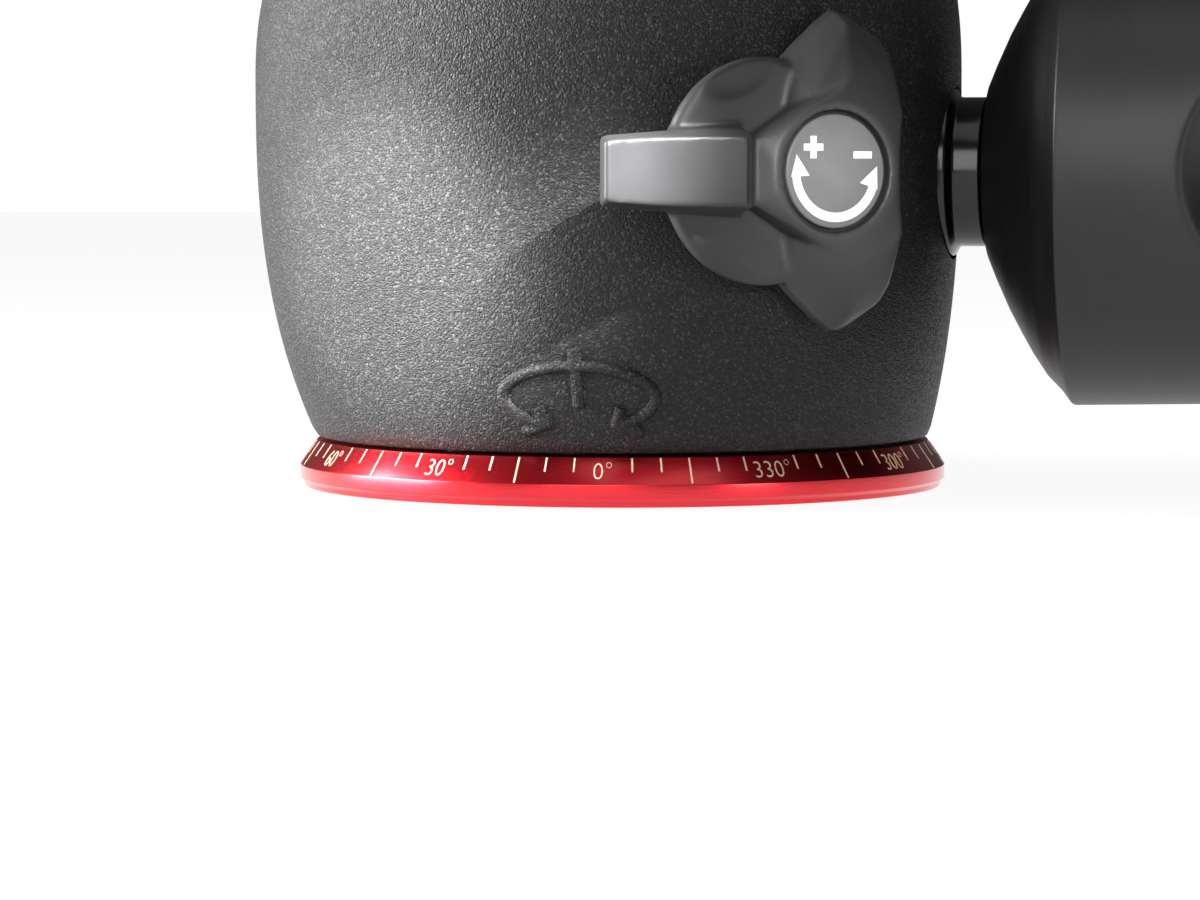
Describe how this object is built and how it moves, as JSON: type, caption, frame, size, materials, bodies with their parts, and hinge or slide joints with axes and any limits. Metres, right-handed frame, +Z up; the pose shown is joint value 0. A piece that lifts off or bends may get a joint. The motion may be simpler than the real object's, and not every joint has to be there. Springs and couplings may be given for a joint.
{
  "type": "star tracker mount",
  "caption": "Ball head mount: textured barrel housing on a graduated red panning ring, locking ball with drop notch, winged friction knob, big lock knob, dovetail clamp and camera plate.",
  "frame": {"origin": "on the pan axis at the underside of the base, where it meets the tripod", "axes": "+Z up along the pan axis, -Y the front with the friction knob, +X towards the main lock knob"},
  "size_m": [0.1007, 0.087, 0.1145],
  "materials": {
    "powder_coat": "black textured powder coat over cast magnesium",
    "red_anodised": "red anodised, fine turned",
    "bare_aluminium": "satin machined",
    "steel": "satin zinc-plated",
    "brass": "turned brass",
    "moulded_plastic": "matt moulded glass-filled nylon",
    "grey_disc": "satin grey disc with white lock symbols",
    "black_gloss": "gloss black anodised",
    "acetal": "natural acetal",
    "polished_ball": "polished hard-anodised",
    "rubber": "fine ribbed rubber",
    "vial_glass": "clear vial with green fluid"
  },
  "bodies": {
    "base": {"pan_base": "bare_aluminium", "scale_ring": "red_anodised", "tripod_insert": "steel", "base_screw_1": "steel", "base_screw_2": "steel", "base_screw_3": "steel", "pan_spindle": "bare_aluminium", "spindle_nut": "steel"},
    "housing": {"housing": "powder_coat", "top_collar": "black_gloss", "upper_seat": "acetal", "thrust_washer": "acetal", "spring_seat": "steel", "cup_spring": "steel", "main_bush": "brass", "friction_bush": "brass", "pan_bush": "brass", "main_neck": "black_gloss"},
    "main_knob": {"main_knob": "moulded_plastic", "main_cap": "grey_disc", "main_shaft": "steel"},
    "main_wedge": {"main_wedge": "brass"},
    "lower_cup": {"lower_cup": "acetal"},
    "friction_knob": {"friction_knob": "moulded_plastic", "friction_disc": "grey_disc", "friction_shaft": "steel"},
    "friction_wedge": {"friction_wedge": "brass"},
    "pan_knob": {"pan_knob": "moulded_plastic", "pan_disc": "grey_disc", "pan_shaft": "steel"},
    "pan_shoe": {"pan_shoe": "brass"},
    "ball": {"ball": "polished_ball"},
    "stem": {"stem": "bare_aluminium"},
    "platform": {"platform": "powder_coat", "platform_screw": "steel", "level_vial": "vial_glass", "button_spring": "steel", "lever_pin": "steel"},
    "safety_button": {"safety_button": "red_anodised"},
    "clamp_jaw": {"clamp_jaw": "bare_aluminium"},
    "lock_lever": {"lock_lever": "moulded_plastic"},
    "camera_plate": {"camera_plate": "bare_aluminium", "plate_pad_left": "rubber", "plate_pad_right": "rubber"},
    "camera_screw": {"camera_screw": "steel"}
  },
  "joints": [
    {"name": "pan_turn", "type": "hinge", "parent": "base", "child": "housing", "pos_m": [0, 0, 0.012], "axis": [0, 0, 1], "continuous": true},
    {"name": "main_knob_turn", "type": "hinge", "parent": "housing", "child": "main_knob", "pos_m": [0, 0, 0.0293], "axis": [-0.9781, 0.2079, 0], "range_deg": [-180, 72]},
    {"name": "main_wedge_slide", "type": "slide", "parent": "housing", "child": "main_wedge", "axis": [-0.9781, 0.2079, 0], "range_m": [-0.00050001, 0.00020001]},
    {"name": "lower_cup_lift", "type": "slide", "parent": "housing", "child": "lower_cup", "axis": [0, 0, 1], "range_m": [-0.00021638, 0.00008656], "deforming": ["cup_spring"]},
    {"name": "friction_knob_turn", "type": "hinge", "parent": "housing", "child": "friction_knob", "pos_m": [0, 0, 0.0293], "axis": [-0.4695, 0.8829, 0], "range_deg": [-90, 45]},
    {"name": "friction_wedge_slide", "type": "slide", "parent": "housing", "child": "friction_wedge", "axis": [-0.4695, 0.8829, 0], "range_m": [-0.00025001, 0.00012501]},
    {"name": "pan_knob_turn", "type": "hinge", "parent": "housing", "child": "pan_knob", "pos_m": [0, 0, 0.01195], "axis": [0, -1, 0], "range_deg": [-180, 72]},
    {"name": "pan_shoe_slide", "type": "slide", "parent": "housing", "child": "pan_shoe", "axis": [0, -1, 0], "range_m": [-0.00035001, 0.00014001]},
    {"name": "ball_front_tilt", "type": "hinge", "parent": "housing", "child": "ball", "pos_m": [0, 0, 0.057], "axis": [1, 0, 0], "range_deg": [-32, 32]},
    {"name": "ball_side_tilt", "type": "hinge", "parent": "ball", "child": "stem", "pos_m": [0, 0, 0.057], "axis": [0, 1, 0], "range_deg": [-90, 32]},
    {"name": "ball_spin", "type": "hinge", "parent": "stem", "child": "platform", "pos_m": [0, 0, 0.0926], "axis": [0, 0, 1], "continuous": true},
    {"name": "clamp_lever_turn", "type": "hinge", "parent": "platform", "child": "lock_lever", "pos_m": [0.0276, -0.017, 0.099], "axis": [0, 0, -1], "range_deg": [0, 75]},
    {"name": "clamp_jaw_slide", "type": "slide", "parent": "platform", "child": "clamp_jaw", "axis": [1, 0, 0], "range_m": [0, 0.002]},
    {"name": "safety_button_press", "type": "slide", "parent": "platform", "child": "safety_button", "axis": [1, 0, 0], "range_m": [0, 0.002], "stiffness_N_per_m": 400, "springref_m": -0.001, "deforming": ["button_spring"]},
    {"name": "camera_plate_slide", "type": "slide", "parent": "platform", "child": "camera_plate", "axis": [0, 1, 0], "range_m": [-0.03, 0.03]},
    {"name": "camera_screw_turn", "type": "hinge", "parent": "camera_plate", "child": "camera_screw", "pos_m": [0, 0, 0.1008], "axis": [0, 0, 1], "continuous": true}
  ],
  "couplings": [
    {"joint": "main_wedge_slide", "follows": "main_knob_turn", "m_per_rad": 0.00015915},
    {"joint": "lower_cup_lift", "follows": "main_knob_turn", "m_per_rad": 0.000068871},
    {"joint": "friction_wedge_slide", "follows": "friction_knob_turn", "m_per_rad": 0.00015915},
    {"joint": "pan_shoe_slide", "follows": "pan_knob_turn", "m_per_rad": 0.00011141},
    {"joint": "clamp_jaw_slide", "follows": "clamp_lever_turn", "m_per_rad": 0.0014515}
  ]
}
